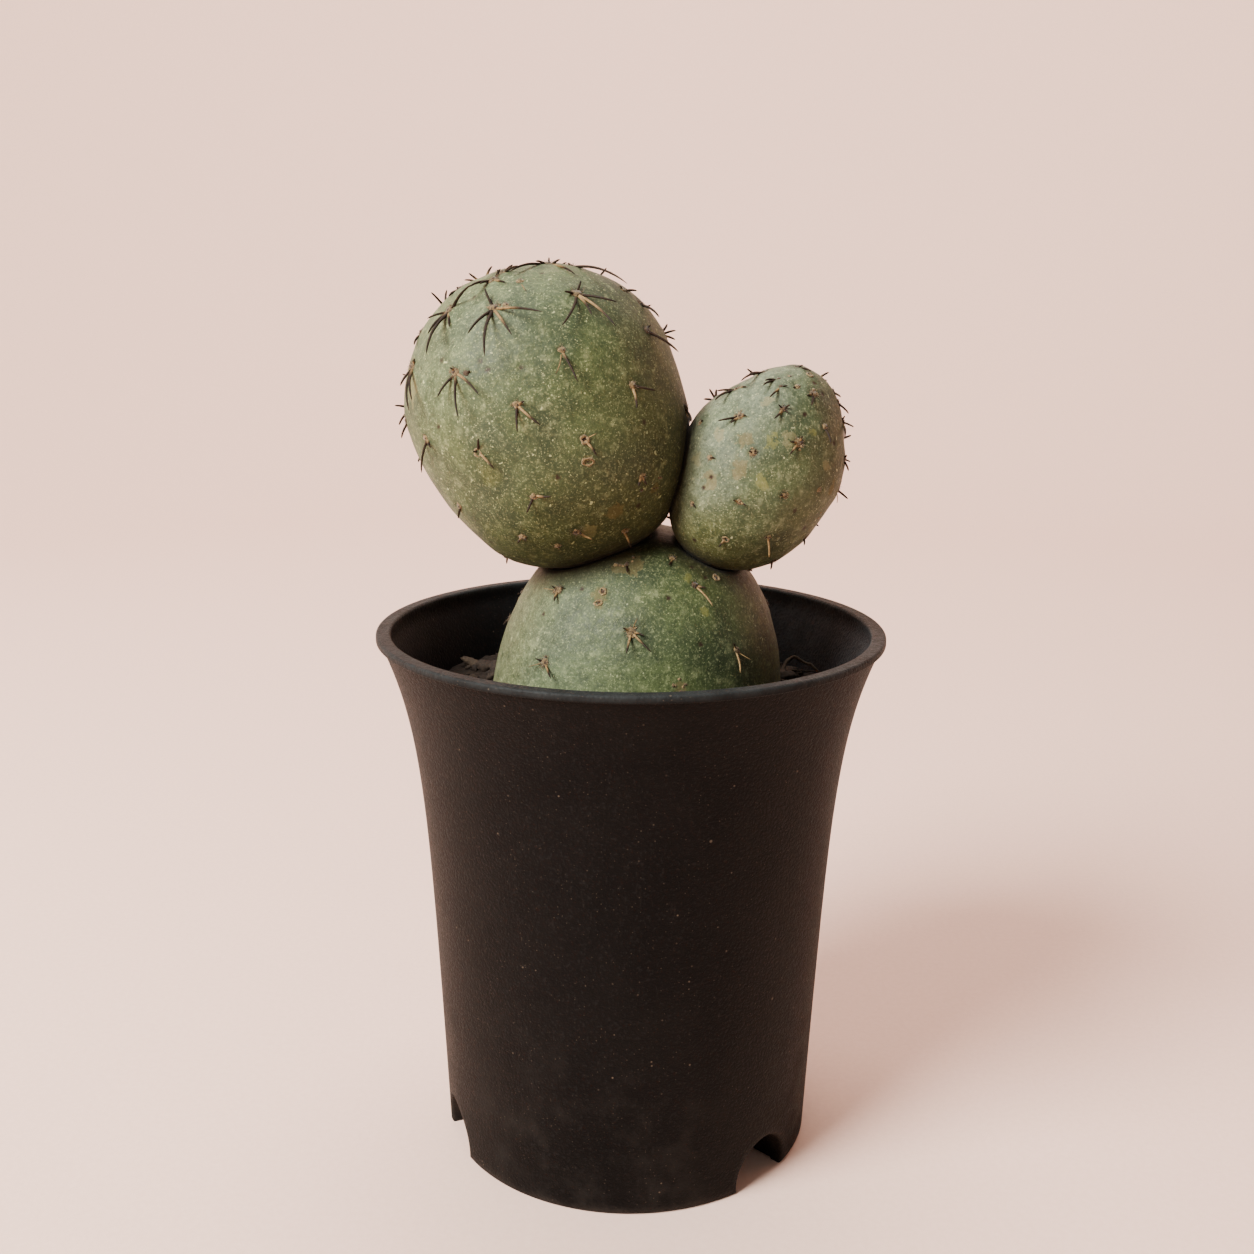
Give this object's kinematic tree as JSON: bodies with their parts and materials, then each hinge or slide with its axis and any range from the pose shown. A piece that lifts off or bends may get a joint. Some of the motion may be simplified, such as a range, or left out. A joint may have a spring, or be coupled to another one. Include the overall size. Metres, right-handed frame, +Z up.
{
  "type": "potted jointed cactus",
  "caption": "Small cactus with swollen, spiny, egg-shaped stem joints growing from a broad base joint, in a flared dark plastic nursery pot filled with soil.",
  "frame": {"origin": "centre of the pot's foot, on the surface it stands on", "axes": "+Z up the pot; -Y is the front of the plant, and +X is to its right seen from the front"},
  "size_m": [0.09, 0.09, 0.1621],
  "materials": {
    "pot_plastic": "matte dark moulded plastic, finely stippled and a little dusty",
    "potting_soil": "dark loose gritty potting mix",
    "root_bark": "dry fibrous root bark",
    "old_skin": "waxy grey-green skin with pale flecks and corky scars",
    "skin": "waxy grey-green skin with pale flecks",
    "spine": "dark brown horny spines on tan woolly cushions"
  },
  "bodies": {
    "root": {"pot": "pot_plastic", "soil": "potting_soil", "roots": "root_bark", "base_joint": "old_skin", "large_joint": "skin", "small_joint": "skin", "spines_large_01": "spine", "spines_large_02": "spine", "spines_large_03": "spine", "spines_large_04": "spine", "spines_large_05": "spine", "spines_large_06": "spine", "spines_large_07": "spine", "spines_large_08": "spine", "spines_large_09": "spine", "spines_large_10": "spine", "spines_large_11": "spine", "spines_large_12": "spine", "spines_large_13": "spine", "spines_large_14": "spine", "spines_large_15": "spine", "spines_large_16": "spine", "spines_large_17": "spine", "spines_large_18": "spine", "spines_large_19": "spine", "spines_large_20": "spine", "spines_large_21": "spine", "spines_large_22": "spine", "spines_large_23": "spine", "spines_large_24": "spine", "spines_small_01": "spine", "spines_small_02": "spine", "spines_small_03": "spine", "spines_small_04": "spine", "spines_small_05": "spine", "spines_small_06": "spine", "spines_small_07": "spine", "spines_small_08": "spine", "spines_small_09": "spine", "spines_small_10": "spine", "spines_small_11": "spine", "spines_small_12": "spine", "spines_small_13": "spine", "spines_small_14": "spine", "spines_small_15": "spine", "spines_small_16": "spine", "spines_small_17": "spine", "spines_small_18": "spine", "spines_base_01": "spine", "spines_base_02": "spine", "spines_base_03": "spine", "spines_base_04": "spine", "spines_base_05": "spine", "spines_base_06": "spine", "spines_base_07": "spine", "spines_base_08": "spine", "spines_base_09": "spine", "spines_base_10": "spine"}
  },
  "joints": []
}
